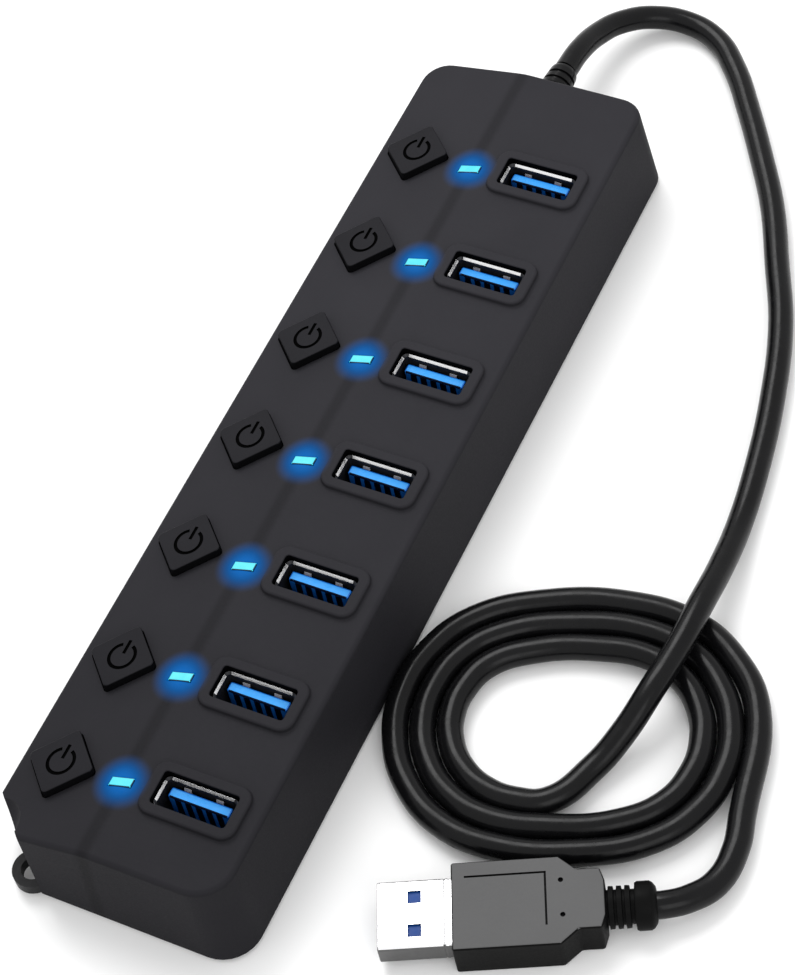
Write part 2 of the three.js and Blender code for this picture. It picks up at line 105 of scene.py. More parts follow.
# Cable, in millimetres.
CABLE_RADIUS = 2.25
CABLE_FLOOR = 2.35
CABLE_RUN = [
    (0, 97.3, 9.5), (0.2, 103.5, 8.8), (1.2, 110.3, 7), (3.6, 115.8, 5.4), (8.3, 120.2, 3.8),
    (14.7, 121.8, 2.7),
    (21.2, 119.8, CABLE_FLOOR), (27.2, 114, CABLE_FLOOR), (33.6, 105, CABLE_FLOOR), (40, 95, CABLE_FLOOR),
    (46.2, 84.5, CABLE_FLOOR), (51.7, 72.5, CABLE_FLOOR), (57.4, 59.5, CABLE_FLOOR), (61.8, 44, CABLE_FLOOR),
    (64.6, 29.5, CABLE_FLOOR), (66.2, 17, 2.7), (67, 7, 4.8), (67.2, -3, 7.1), (66.9, -12, 7.4),
    (65.9, -20.5, 7.2), (63.9, -28.5, 4.4), (61.4, -35, 2.55),
]
CABLE_TAIL = [
    (86.9, -34.6, CABLE_FLOOR), (88.1, -40.5, CABLE_FLOOR), (87.6, -47.1, 2.8), (85.2, -51.2, 3.5),
    (81.45, -54.4, 4.05), (79.9, -55.08, 4.05),
]
COIL_CENTRE = Vector((50.1, -31.6))
COIL_STRETCH = 10
COIL_HEADING = 20
COIL_FIRST_RADIUS = 13.4
COIL_GROWTH = 4.6
COIL_START, COIL_END, COIL_STEP = 80, 1092, 22

# Plug, in millimetres, in its own frame: X runs from the cable to the tip.
PLUG_PLACE = (74.4, -57.7, 4.05)
PLUG_HEADING = 205.5
GRIP_OUTLINE = [(0.9, 3), (1.6, 5.2), (5.2, 5.2), (8, 7.6), (25, 7.6)]
GRIP_THICKNESS = 8
GRIP_GROOVES = [((10.2, -5.1), (22.9, -4.75)), ((10.0, -5.1), (10.35, 4.2))]
GRIP_DOTS = [(7.75, -3.4), (7.6, 2.6)]
GROOVE_DEPTH = 0.3
DOT_RADIUS = 0.42
BOOT_COLLAR = [
    (2.4, -7), (2.9, -6.9), (3.6, -6.4), (3.9, -5.9), (3.9, -4), (3.7, -3.6), (2.75, -3.5), (2.75, -2.9),
]
BOOT_RIBS = (-2.8, -1.5, -0.2)
SHELL_BACK, SHELL_FRONT = 19.4, 36.9
PLUG_BLADE = [(20, -5.5, 0.05), (36.5, 5.5, 1.8)]
SHELL_PROFILE = [
    (SHELL_BACK, 0.08), (25.6, 0.08), (25.8, 0), (26.1, 0), (26.3, 0.1), (26.5, 0), (36.75, 0),
    (SHELL_FRONT, 0.12),
]
SHELL_SIZE = (12, 4.5)
SHELL_WALL = 0.3
HOLE_X, HOLE_Y, HOLE_SIDE = 31, 2.9, 2.2

# Socket, in millimetres, from its own centre. The rim stands a little below the bezel's mouth.
SOCKET_SIZE = (13.1, 5.7)
SOCKET_WALL, SOCKET_RADIUS = 0.3, 1.0
SOCKET_BOTTOM, SOCKET_RIM = 6, 19.4
SOCKET_LIP = 0.42
BLOCK = {"x": 6.1, "y": 2.4, "top": 9.5}
BLADE = {"width": 11.1, "near": 0.06, "far": 1.9, "top": 17.8}
NOTCH_PITCH, NOTCH_WIDTH, NOTCH_DEPTH = 1.87, 1.2, 0.5
FINGER_X, FINGER_WIDTH, FINGER_THICKNESS = 2.9, 1.3, 0.14

# Strain relief: the height of its axis, and its radius and place along the axis at each turn of its profile.
RELIEF_AXIS_Z = 9.5
RELIEF_BACK = [
    (0.5, 83.6), (4.2, 83.6), (4.2, 85), (3, 85), (3, 87.7), (3.5, 87.8), (3.6, 88.2), (3.6, 89), (3.3, 89.3),
]
RELIEF_TIP = [(2.6, 96.6), (2.45, 97), (1, 97)]

# The nodes kept from the CAD: how each name starts, with its material and the width of its bevel.
NODE_LOOKS = {
    "bottom_cover": ("cover", 0.35), "circuit_board": ("board", 0.1), "hub_chip": ("chip", 0.1),
    "crystal": ("can", 0.4), "power_capacitor": ("can", 0.3), "cable_header": ("nylon", 0.2),
    "case_screw": ("screw", 0.15), "rubber_foot": ("rubber", 0.25), "button_switch": ("chip", 0.15),
}


# ---- Materials ----


def new_material(name, color, roughness, metallic=0.0, specular=0.5):
    """A Principled material. Returns it with its nodes, its links and its shader."""
    material = bpy.data.materials.new(name)
    material.use_nodes = True
    nodes, links = material.node_tree.nodes, material.node_tree.links
    shader = nodes["Principled BSDF"]
    shader.inputs["Base Color"].default_value = (*color, 1)
    shader.inputs["Roughness"].default_value = roughness
    shader.inputs["Metallic"].default_value = metallic
    shader.inputs["Specular IOR Level"].default_value = specular
    return material, nodes, links, shader


def add_noise(nodes, links, scale, detail=3, stretch=(1, 1, 1)):
    """A noise texture in object coordinates."""
    coordinates = nodes.new("ShaderNodeTexCoord")
    mapping = nodes.new("ShaderNodeMapping")
    mapping.inputs["Scale"].default_value = stretch
    noise = nodes.new("ShaderNodeTexNoise")
    noise.inputs["Scale"].default_value = scale
    noise.inputs["Detail"].default_value = detail
    links.new(coordinates.outputs["Object"], mapping.inputs["Vector"])
    links.new(mapping.outputs["Vector"], noise.inputs["Vector"])
    return noise.outputs["Fac"]


def add_ramp(nodes, links, value, low, high, start=0.3, end=0.7):
    """A ramp from one colour or grey to another, driven by a value."""
    ramp = nodes.new("ShaderNodeValToRGB")
    ramp.color_ramp.elements[0].position = start
    ramp.color_ramp.elements[1].position = end
    ramp.color_ramp.elements[0].color = (*low, 1)
    ramp.color_ramp.elements[1].color = (*high, 1)
    links.new(value, ramp.inputs["Fac"])
    return ramp.outputs["Color"]


def add_bump(nodes, links, shader, value, strength, distance):
    """A small relief on the surface, driven by a value."""
    bump = nodes.new("ShaderNodeBump")
    bump.inputs["Strength"].default_value = strength
    bump.inputs["Distance"].default_value = distance
    links.new(value, bump.inputs["Height"])
    links.new(bump.outputs["Normal"], shader.inputs["Normal"])


def grained(
    name, dark, light, roughness, grain=2600, bump=0.12, metallic=0.0, stretch=(1, 1, 1), spread=0.06,
    specular=0.5,
):
    """A surface with fine grain: its colour and roughness drift a little, and its grain is a small bump."""
    material, nodes, links, shader = new_material(name, dark, roughness, metallic, specular)
    cloud = add_noise(nodes, links, 60, 4)
    links.new(add_ramp(nodes, links, cloud, dark, light), shader.inputs["Base Color"])
    fine = add_noise(nodes, links, grain, 2, stretch)
    low, high = roughness - spread, roughness + spread
    links.new(add_ramp(nodes, links, fine, (low,) * 3, (high,) * 3), shader.inputs["Roughness"])
    add_bump(nodes, links, shader, fine, bump, 0.00006)
    return material


def make_housing_material(lights):
    """Charcoal plastic with a fine spark texture, a painted blue glow round each lit window, and painted shade.
    """
    material = grained(
        "housing_plastic", (0.0212, 0.0207, 0.0243), (0.0240, 0.0234, 0.0274), 0.6, 3200, specular=0.05
    )
    nodes, links = material.node_tree.nodes, material.node_tree.links
    shader = nodes["Principled BSDF"]
    place = nodes.new("ShaderNodeTexCoord").outputs["Object"]
    nearest = None
    for light in lights:
        distance = nodes.new("ShaderNodeVectorMath")
        distance.operation = "DISTANCE"
        distance.inputs[1].default_value = light
        links.new(place, distance.inputs[0])
        if nearest is None:
            nearest = distance.outputs["Value"]
            continue
        smaller = nodes.new("ShaderNodeMath")
        smaller.operation = "MINIMUM"
        links.new(nearest, smaller.inputs[0])
        links.new(distance.outputs["Value"], smaller.inputs[1])
        nearest = smaller.outputs["Value"]
    halo = nodes.new("ShaderNodeMapRange")
    halo.interpolation_type = "SMOOTHSTEP"
    halo.inputs["From Min"].default_value = HALO_REACH
    halo.inputs["From Max"].default_value = HALO_CORE
    links.new(nearest, halo.inputs["Value"])
    paint_shade_on_plastic(nodes, links, shader, place, halo.outputs["Result"])
    # Painted glow: the plastic itself emits the blue halo round each lit window.
    glow = add_ramp(nodes, links, halo.outputs["Result"], (0, 0, 0), HALO_GLOW, 0.0, 1.0)
    links.new(glow, shader.inputs["Emission Color"])
    shader.inputs["Emission Strength"].default_value = 1
    return material


def add_range(nodes, links, value, start, end, low, high):
    """Maps a value smoothly from one range to another."""
    node = nodes.new("ShaderNodeMapRange")
    node.interpolation_type = "SMOOTHSTEP"
    for name, number in (("From Min", start), ("From Max", end), ("To Min", low), ("To Max", high)):
        node.inputs[name].default_value = number
    links.new(value, node.inputs["Value"])
    return node.outputs["Result"]


def scale_base(nodes, links, shader, factor):
    """Multiplies the shader's base colour by a factor."""
    scaled = nodes.new("ShaderNodeVectorMath")
    scaled.operation = "SCALE"
    links.new(shader.inputs["Base Color"].links[0].from_socket, scaled.inputs[0])
    links.new(factor, scaled.inputs["Scale"])
    links.new(scaled.outputs["Vector"], shader.inputs["Base Color"])


def paint_shade_on_plastic(nodes, links, shader, place, halo):
    """Paints shade into the plastic: darker along the crease, towards the near end, on the walls and under the
    painted glow.
    """
    split = nodes.new("ShaderNodeSeparateXYZ")
    links.new(place, split.inputs[0])
    offset = nodes.new("ShaderNodeMath")
    offset.operation = "SUBTRACT"
    offset.inputs[1].default_value = CREASE_X * MM
    links.new(split.outputs["X"], offset.inputs[0])
    away = nodes.new("ShaderNodeMath")
    away.operation = "ABSOLUTE"
    links.new(offset.outputs["Value"], away.inputs[0])
    # Each factor below is painted shade: the crease, the near end, under the glow, and the walls that face
    # sideways.
    scale_base(nodes, links, shader, add_range(nodes, links, away.outputs["Value"], *CREASE_SHADE))
    scale_base(nodes, links, shader, add_range(nodes, links, split.outputs["Y"], *NEAR_END_SHADE))
    scale_base(nodes, links, shader, add_range(nodes, links, halo, *HALO_SHADE))
    facing = nodes.new("ShaderNodeSeparateXYZ")
    links.new(nodes.new("ShaderNodeTexCoord").outputs["Normal"], facing.inputs[0])
    scale_base(nodes, links, shader, add_range(nodes, links, facing.outputs["Z"], *WALL_SHADE))



def make_materials():
    """Every material, by a short name."""
    made = {}
    lights = []
    for port in PORTS:
        low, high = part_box(f"light_window_{port}")
        lights.append(((low[0] + high[0]) / 2, (low[1] + high[1]) / 2, high[2]))
    made["housing"] = make_housing_material(lights)
    made["cover"] = grained(
        "cover_plastic", (0.008, 0.008, 0.009), (0.012, 0.012, 0.013), 0.5, 1800, specular=0.12
    )
    # Painted shade: a near-black copy of the housing plastic for the walls inside the deck's windows.
    made["inner"] = grained(
        "window_wall_painted_shade", (0.001, 0.001, 0.0012), (0.0015, 0.0015, 0.0018), 0.7, specular=0.02
    )
    made["button"] = grained(
        "button_plastic", (0.009, 0.0088, 0.0108), (0.012, 0.0117, 0.0142), 0.5, 4200, specular=0.055
    )
    # Painted shade: a darker copy of the button plastic for its sides.
    made["button_side_in_shade"] = grained(
        "button_side_in_shade", (0.003, 0.003, 0.0035), (0.004, 0.004, 0.0045), 0.5, specular=0.02
    )
    # Painted shade: near black in the groove of the power sign.
    made["icon_in_shade"] = grained("icon_groove_painted_shade", (0.001, 0.001, 0.001), (0.002, 0.002, 0.002), 0.7, specular=0)
    # Lit and shaded copies of one steel: a painted highlight, and painted shade for the socket boxes and the
    # plug's sides.
    made["steel"] = grained(
        "bright_steel", (0.92, 0.92, 0.93), (0.97, 0.97, 0.98), 0.24, 900, 0.05, 1.0, (1, 14, 1)
    )
    made["dark_steel"] = grained(
        "shaded_steel", (0.02, 0.02, 0.023), (0.035, 0.035, 0.038), 0.45, 900, 0.05, 0.6
    )
    made["side_steel"] = grained("side_steel", (0.09, 0.09, 0.09), (0.13, 0.13, 0.13), 0.4, 900, 0.05, 0.8)
    made["finger"] = grained("spring_steel", (0.30, 0.30, 0.31), (0.38, 0.38, 0.4), 0.5, 900, 0.05, 0.3)
    made["blue"] = grained(
        "tongue_blue", (0.004, 0.11, 0.50), (0.006, 0.15, 0.60), 0.4, 1500, 0.06, specular=0.2
    )
    # Painted shade: a darker copy of the tongue's blue for the insulator under the plug's shell.
    made["plug_blue"] = grained(
        "plug_blue", (0.002, 0.035, 0.18), (0.003, 0.05, 0.24), 0.38, 1500, 0.06, specular=0.2
    )
    made["board"] = grained("solder_mask", (0.010, 0.11, 0.05), (0.02, 0.15, 0.07), 0.4, 500)
    made["chip"] = grained("chip_epoxy", (0.012, 0.012, 0.012), (0.02, 0.02, 0.02), 0.6)
    made["can"] = grained(
        "can_aluminium", (0.72, 0.73, 0.75), (0.8, 0.8, 0.82), 0.32, 700, 0.05, 1.0, (1, 1, 20)
    )
    made["nylon"] = grained("header_nylon", (0.74, 0.70, 0.60), (0.8, 0.76, 0.66), 0.5)
    made["screw"] = grained("zinc_plate", (0.5, 0.5, 0.53), (0.62, 0.62, 0.64), 0.35, 900, 0.08, 1.0)
    made["rubber"] = grained("foot_rubber", (0.014, 0.014, 0.014), (0.022, 0.022, 0.022), 0.85, 1400, 0.3)
    made["cable"] = grained(
        "cable_jacket", (0.0025, 0.0025, 0.0028), (0.0045, 0.0045, 0.005), 0.24, 700, specular=0.16
    )
    # Lit and shaded copies of the grip plastic: painted light on its top, painted shade on its sides.
    made["grip"] = grained(
        "grip_plastic", (0.080, 0.080, 0.081), (0.090, 0.090, 0.091), 0.5, 2600, 0.1, specular=0.15
    )
    made["grip_side_in_shade"] = grained(
        "grip_side_painted_shade", (0.003, 0.003, 0.003), (0.005, 0.005, 0.005), 0.45, 2600, 0.1, specular=0.04
    )
    made["light"] = make_light_material()
    made["light_rim"] = grained("window_rim", (0.0, 0.03, 0.06), (0.0, 0.04, 0.08), 0.4)
    # Painted highlight: a lighter copy of the tongue's blue for its top. Painted shade: a near-black copy for
    # its contact slots.
    made["blue_top_lit"] = grained(
        "tongue_top_painted_highlight", (0.012, 0.26, 0.72), (0.018, 0.31, 0.80), 0.4, 1500, 0.06, specular=0.2
    )
    made["slot_in_shade"] = grained(
        "contact_slot_painted_shade", (0.001, 0.003, 0.012), (0.001, 0.004, 0.018), 0.5, specular=0.05
    )
    return made


def make_light_material():
    """The lit window: bright in its middle and a little deeper at its rim."""
    material, nodes, links, shader = new_material("lit_window", (0.01, 0.08, 0.10), 0.3, specular=0.2)
    cloud = add_noise(nodes, links, 500, 2)
    glow = add_ramp(nodes, links, cloud, (0.05, 0.70, 0.88), (0.09, 0.80, 0.95))
    links.new(glow, shader.inputs["Emission Color"])
    shader.inputs["Emission Strength"].default_value = 0.95
    return material


# ---- Mesh helpers ----


def link(mesh_object):
    """Puts an object in the scene."""
    bpy.context.scene.collection.objects.link(mesh_object)
    return mesh_object


def object_from(name, bm, material=None):
    """A mesh object from a bmesh built in millimetres."""
    bmesh.ops.recalc_face_normals(bm, faces=bm.faces)
    mesh = bpy.data.meshes.new(name)
    bm.to_mesh(mesh)
    bm.free()
    mesh.transform(Matrix.Scale(MM, 4))
    if material:
        mesh.materials.append(material)
    return link(bpy.data.objects.new(name, mesh))


def apply_modifiers(target):
    """Bakes the modifiers into the mesh."""
    graph = bpy.context.evaluated_depsgraph_get()
    mesh = bpy.data.meshes.new_from_object(target.evaluated_get(graph))
    target.modifiers.clear()
    old = target.data
    target.data = mesh
    bpy.data.meshes.remove(old)


def boolean(target, tools, operation):
    """Joins the tools to the target, or cuts them out of it, and removes them."""
    group = bpy.data.collections.new(f"tools_{target.name}")
    for tool in tools:
        group.objects.link(tool)
    modifier = target.modifiers.new("boolean", "BOOLEAN")
    modifier.operation = operation
    modifier.operand_type = "COLLECTION"
    modifier.collection = group
    modifier.solver = "EXACT"
    apply_modifiers(target)
    for tool in tools:
        bpy.data.objects.remove(tool)
    bpy.data.collections.remove(group)


def bevel(target, width, segments=2, angle=40):
    """Rounds the edges of an object a little, with its mesh left as it is."""
    modifier = target.modifiers.new("bevel", "BEVEL")
    modifier.width = width * MM
    modifier.segments = segments
    modifier.limit_method = "ANGLE"
    modifier.angle_limit = math.radians(angle)
    modifier.harden_normals = False


def shade(target, angle=35):
    """Smooth shading that keeps the sharp edges and the flat faces flat."""
    for polygon in target.data.polygons:
        polygon.use_smooth = True
    target.data.set_sharp_from_angle(angle=math.radians(angle))
    weighted = target.modifiers.new("weighted_normals", "WEIGHTED_NORMAL")
    weighted.keep_sharp = True


def piece(target, replaced=(), body=BODY):
    """Hangs a piece of the visual model under its body's empty, and hides the CAD nodes it replaces."""
    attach(target, body)
    if replaced:
        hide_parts(*replaced)
    return target


def rounded_rectangle(width, depth, radius, steps=5):
    """Points round a rounded rectangle, anticlockwise from its right side."""
    points = []
    for corner in range(4):
        x = (1, -1, -1, 1)[corner] * (width / 2 - radius)
        y = (1, 1, -1, -1)[corner] * (depth / 2 - radius)
        for step in range(steps + 1):
            angle = math.radians(90 * (corner + step / steps))
            points.append((x + radius * math.cos(angle), y + radius * math.sin(angle)))
    return points


def loft(bm, rings, closed=True):
    """Skins a stack of rings with the same number of points, and caps the first and the last."""
    loops = [[bm.verts.new(point) for point in ring] for ring in rings]
    count = len(loops[0])
    for lower, upper in zip(loops, loops[1:]):
        for i in range(count):
            j = (i + 1) % count
            bm.faces.new((lower[i], lower[j], upper[j], upper[i]))
    if closed:
        bm.faces.new(list(reversed(loops[0])))
        bm.faces.new(loops[-1])
    return loops


def join_ends(bm, loops):
    """Joins the last ring of a skin to its first, which makes a closed tube wall."""
    first, last = loops[0], loops[-1]
    count = len(first)
    for i in range(count):
        j = (i + 1) % count
        bm.faces.new((last[i], last[j], first[j], first[i]))


def lathe(bm, profile, to_point, segments=32):
    """A solid turned about an axis. to_point places a point from how far along and how far across it lies."""
    angles = [math.radians(360 * i / segments) for i in range(segments)]
    loft(bm, [[to_point(along, radius * math.cos(a), radius * math.sin(a)) for a in angles]
              for radius, along in profile])


def prism(bm, outline, bottom, top):
    """An upright solid with the same outline all the way up."""
    return loft(bm, [[(x, y, z) for x, y in outline] for z in (bottom, top)])


def turned(bm, matrix):
    """Moves a whole bmesh by a matrix, and returns it."""
    bmesh.ops.transform(bm, matrix=matrix, verts=bm.verts)
    return bm


def box(bm, low, high):
    """An upright box between two corners."""
    outline = [(low[0], low[1]), (high[0], low[1]), (high[0], high[1]), (low[0], high[1])]
    return prism(bm, outline, low[2], high[2])


def place_of(node):
    """The centre of a node's box in plan, in millimetres."""
    low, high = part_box(node)
    return (low[0] + high[0]) / 2 / MM, (low[1] + high[1]) / 2 / MM


# ---- Stage ----


def make_camera():
    """The camera, placed by its azimuth, elevation and roll."""
    azimuth, elevation = math.radians(CAMERA_AZIMUTH), math.radians(CAMERA_ELEVATION)
    back = Vector((
        math.cos(elevation) * math.sin(azimuth),
        -math.cos(elevation) * math.cos(azimuth),
        math.sin(elevation),
    ))
    level = Vector((0, 0, 1)).cross(back).normalized()
    upright = back.cross(level)
    roll = math.radians(CAMERA_ROLL)
    right = level * math.cos(roll) + upright * math.sin(roll)
    up = back.cross(right)
    data = bpy.data.cameras.new("camera")
    data.lens = CAMERA_LENS
    data.sensor_width = CAMERA_SENSOR
    data.clip_start = 0.01
    camera = link(bpy.data.objects.new("camera", data))
    turn = Matrix((right, up, back)).transposed().to_4x4()
    camera.matrix_world = Matrix.Translation(CAMERA_PLACE) @ turn
    bpy.context.scene.camera = camera


def add_area_light(name, place, target, size, power):
    """A soft rectangular lamp turned towards a target."""
    data = bpy.data.lights.new(name, "AREA")
    data.shape = "RECTANGLE"
    data.size, data.size_y = size
    data.energy = power
    light = link(bpy.data.objects.new(name, data))
    light.location = place
    light.rotation_euler = (Vector(target) - Vector(place)).to_track_quat("-Z", "Y").to_euler()


def make_stage():
    """Soft studio light from all round, two lamps and a pale floor."""
    scene = bpy.context.scene
    scene.view_settings.view_transform = "Standard"
    world = bpy.data.worlds.new("studio")
    scene.world = world
    world.use_nodes = True
    background = world.node_tree.nodes["Background"]
    background.inputs["Color"].default_value = (1, 1, 1, 1)
    background.inputs["Strength"].default_value = 1
    add_area_light("key", (-0.35, 0.35, 0.75), (0, 0, 0), LAMP_SIZE, 5)
    add_area_light("fill", (0.6, -0.5, 0.6), (0.02, -0.02, 0), LAMP_SIZE, 1.5)

    bm = bmesh.new()
    bmesh.ops.create_grid(bm, x_segments=1, y_segments=1, size=FLOOR_REACH)
    material, nodes, links, shader = new_material("floor_paper", (0.9, 0.9, 0.9), 0.8)
    cloud = add_noise(nodes, links, 8, 3)
    paper = add_ramp(nodes, links, cloud, (0.90, 0.90, 0.90), (0.92, 0.92, 0.92))
    links.new(paper, shader.inputs["Base Color"])
    shader.inputs["Specular IOR Level"].default_value = 0.1
    object_from("floor", bm, material)


# ---- Cable ----


def coil_points():
    """Three turns of a flat oval spiral, clockwise from above, from the inside out."""
    heading = math.radians(COIL_HEADING)
    along = Vector((math.cos(heading), math.sin(heading)))
    points = []
    for angle in range(COIL_START, COIL_END, COIL_STEP):
        turn = heading - math.radians(angle)
        share = min(max((math.cos(turn - heading) / 0.6 + 1) / 2, 0), 1)
        share = share * share * (3 - 2 * share)
        centre = COIL_CENTRE if angle < 180 else COIL_CENTRE + along * COIL_STRETCH * share
        radius = COIL_FIRST_RADIUS + COIL_GROWTH * max(angle - 90, 0) / 360
        spot = centre + Vector((math.cos(turn), math.sin(turn))) * radius
        points.append((spot.x, spot.y, CABLE_FLOOR))
    return points


def make_cable(material):
    """The whole cable as one round curve, from inside the strain relief to inside the plug's boot."""
    points = CABLE_RUN + coil_points() + CABLE_TAIL
    data = bpy.data.curves.new("cable", "CURVE")
    data.dimensions = "3D"
    data.resolution_u = 8
    data.bevel_depth = CABLE_RADIUS * MM
    data.bevel_resolution = 7
    data.use_fill_caps = True
    spline = data.splines.new("BEZIER")
    spline.bezier_points.add(len(points) - 1)
    for knot, point in zip(spline.bezier_points, points):
        knot.co = Vector(point) * MM
        knot.handle_left_type = knot.handle_right_type = "AUTO"
    data.materials.append(material)
    cable = link(bpy.data.objects.new("cable", data))
    return piece(cable, ("cable_run", "cable_coil", "cable_tail"))


make_camera()
make_stage()
MATERIALS = make_materials()
cable = make_cable(MATERIALS["cable"])


# ---- Housing ----


def deck_height(x):
    """Height of the deck's surface, with its crease rounded off."""
    drop = CREASE_X + CREASE_SOFTNESS - x
    if drop <= 0:
        return TOP_Z
    if drop < 2 * CREASE_SOFTNESS:
        return TOP_Z - SLOPE * drop * drop / (4 * CREASE_SOFTNESS)
    return TOP_Z - SLOPE * (drop - CREASE_SOFTNESS)


def wall_outline(size, inset=0.0):
    """The housing's outline, with its normals. Extra points on the ends follow the deck's crease."""
    width, length = size
    crease = [CREASE_X + CREASE_SOFTNESS * (i / 3 - 1) for i in range(7)]
    corners = [
        (1, -1, CORNER_RADII["near_right"], -90),
        (1, 1, CORNER_RADII["far_right"], 0),
        (-1, 1, CORNER_RADII["far_left"], 90),
        (-1, -1, CORNER_RADII["near_left"], 180),
    ]
    points = []
    for x_side, y_side, radius, start in corners:
        centre = Vector((x_side * (width / 2 - radius), y_side * (length / 2 - radius)))
        for step in range(9):
            angle = math.radians(start + 90 * step / 8)
            normal = Vector((math.cos(angle), math.sin(angle)))
            points.append(centre + normal * (radius - inset))
        if x_side == 1 and y_side == 1:
            points += [Vector((x, length / 2 - inset)) for x in reversed(crease)]
        if x_side == -1 and y_side == -1:
            points += [Vector((x, -length / 2 + inset)) for x in crease]
    return points


def size_at(z):
    """The housing's width and length at a height, in millimetres."""
    share = (z - BASE_Z) / (TOP_Z - BASE_Z)
    return [base + (top - base) * share for base, top in zip(BASE_SIZE, TOP_SIZE)]


def housing_solid(bm, inset, drop, edge_radius, bottom):
    """The walls and deck as one closed solid, set in by inset and down by drop, with a rounded top edge."""
    rings = [[(p.x, p.y, bottom) for p in wall_outline(size_at(bottom), inset)]]
    steps = 5 if edge_radius else 0
    guide = wall_outline(size_at(TOP_Z))
    for step in range(steps + 1):
        angle = math.radians(90 * step / steps) if steps else 0
        pull = edge_radius * (1 - math.cos(angle))
        fall = edge_radius * (1 - math.sin(angle))
        heights = [deck_height(p.x) - drop - fall for p in guide]
        ring = []
        for i, height in enumerate(heights):
            spot = wall_outline(size_at(height), inset + pull)[i]
            ring.append((spot.x, spot.y, height))
        rings.append(ring)
    loops = loft(bm, rings, closed=False)
    bm.faces.new(list(reversed(loops[0])))
    cap_deck(bm, loops[-1])


def cap_deck(bm, rim):
    """Closes the deck: one flat face each side of the crease, and narrow strips along it."""
    near = [i for i, v in enumerate(rim) if v.co.y < 0 and abs(v.co.x - CREASE_X) <= CREASE_SOFTNESS + 0.01]
    far = [i for i, v in enumerate(rim) if v.co.y > 0 and abs(v.co.x - CREASE_X) <= CREASE_SOFTNESS + 0.01]
    near.sort(key=lambda i: rim[i].co.x)
    far.sort(key=lambda i: rim[i].co.x)
    for k in range(len(near) - 1):
        bm.faces.new((rim[near[k]], rim[near[k + 1]], rim[far[k + 1]], rim[far[k]]))
    right = [v for v in rim if v.co.x >= rim[near[-1]].co.x - 0.001]
    left = [v for v in rim if v.co.x <= rim[near[0]].co.x + 0.001]
    for side in (right, left):
        centre = sum((v.co for v in side), Vector()) / len(side)
        side.sort(key=lambda v: math.atan2(v.co.y - centre.y, v.co.x - centre.x))
        bm.faces.new(side)


def at_corner(bm):
    """Turns a shape out of the cut corner's own frame, where X runs out of the corner."""
    turn = Matrix.Rotation(math.radians(CORNER_HEADING), 4, "Z")
    return turned(bm, Matrix.Translation((*CORNER, 0)) @ turn)


def corner_cutters(offset):
    """The upright plane that cuts the corner off, and the round scoop in its top edge."""
    plane = bmesh.new()
    box(plane, (offset, -20, -1), (offset + 40, 20, 30))
    ball = bmesh.new()
    bmesh.ops.create_uvsphere(ball, u_segments=48, v_segments=32, radius=SCOOP["radius"] - offset)
    turned(ball, Matrix.Translation((SCOOP["out"], SCOOP["across"], SCOOP["z"])))
    return [object_from("corner_plane", at_corner(plane)), object_from("corner_scoop", at_corner(ball))]


def bezel_solid(bm, x, y):
    """A raised frame with a soft foot and a rounded rim."""
    profile = [(0, -1)]
    foot, rim = 0.45, 0.5
    for step in range(5):
        angle = math.radians(90 * step / 4)
        profile.append((-foot * (1 - math.sin(angle)), foot * (1 - math.cos(angle))))
    for step in range(5):
        angle = math.radians(90 * step / 4)
        profile.append((rim * (1 - math.cos(angle)), BEZEL["height"] - rim * (1 - math.sin(angle))))
    profile[0] = (profile[1][0], -1)
    rings = []
    for inset, rise in profile:
        outline = rounded_rectangle(
            BEZEL["width"] - 2 * inset, BEZEL["depth"] - 2 * inset, BEZEL["radius"] - inset, 6
        )
        rings.append([(x + px, y + py, TOP_Z + rise) for px, py in outline])
    loft(bm, rings)


def port_cutter(bm, x, y):
    """The socket's window, with a small chamfer round its mouth."""
    top = TOP_Z + BEZEL["height"]
    chamfer = 0.12
    rings = []
    for grow, z in ((0, 10), (0, top - chamfer), (chamfer, top), (chamfer, top + 2)):
        outline = rounded_rectangle(
            PORT_WINDOW["width"] + 2 * grow, PORT_WINDOW["depth"] + 2 * grow, PORT_WINDOW["radius"] + grow, 4
        )
        rings.append([(x + px, y + py, z) for px, py in outline])
    loft(bm, rings)


def diamond(side, radius, steps=4):
    """A rounded square, turned by 45 degrees."""
    turn = math.sqrt(0.5)
    return [((px - py) * turn, (px + py) * turn) for px, py in rounded_rectangle(side, side, radius, steps)]


def inside_window(spot, sockets, buttons):
    """Whether a place is on the wall of a window in the deck, and not on the deck."""
    for x, y in sockets:
        width, depth = PORT_WINDOW["width"] / 2 + 0.02, PORT_WINDOW["depth"] / 2 + 0.02
        if abs(spot.x - x) < width and abs(spot.y - y) < depth:
            return True
    for x, y in buttons:
        if abs(spot.x - x) + abs(spot.y - y) < (BUTTON_SIDE / 2 + BUTTON_GAP + 0.02) * math.sqrt(2):
            return True
    return False


def window_cutters(port):
    """What cuts the deck open for one socket, its button and its lit window."""
    socket = bmesh.new()
    port_cutter(socket, *place_of(f"usb_socket_shell_{port}"))
    button = bmesh.new()
    x, y = place_of(f"power_button_{port}")
    outline = diamond(BUTTON_SIDE + 2 * BUTTON_GAP, BUTTON_RADIUS)
    prism(button, [(x + px, y + py) for px, py in outline], *CUTTER_HEIGHTS)
    light = bmesh.new()
    x, y = place_of(f"light_window_{port}")
    width, depth = (size / 2 + LIGHT_GAP for size in LIGHT_SIZE)
    outline = [(-width, -depth), (width, -depth), (width, depth), (-width, depth)]
    prism(light, [(x + px, y + py + LIGHT_SKEW * px) for px, py in outline], *CUTTER_HEIGHTS)
    return [
        object_from(f"port_cutter_{port}", socket),
        object_from(f"button_cutter_{port}", button),
        object_from(f"light_cutter_{port}", light),
    ]


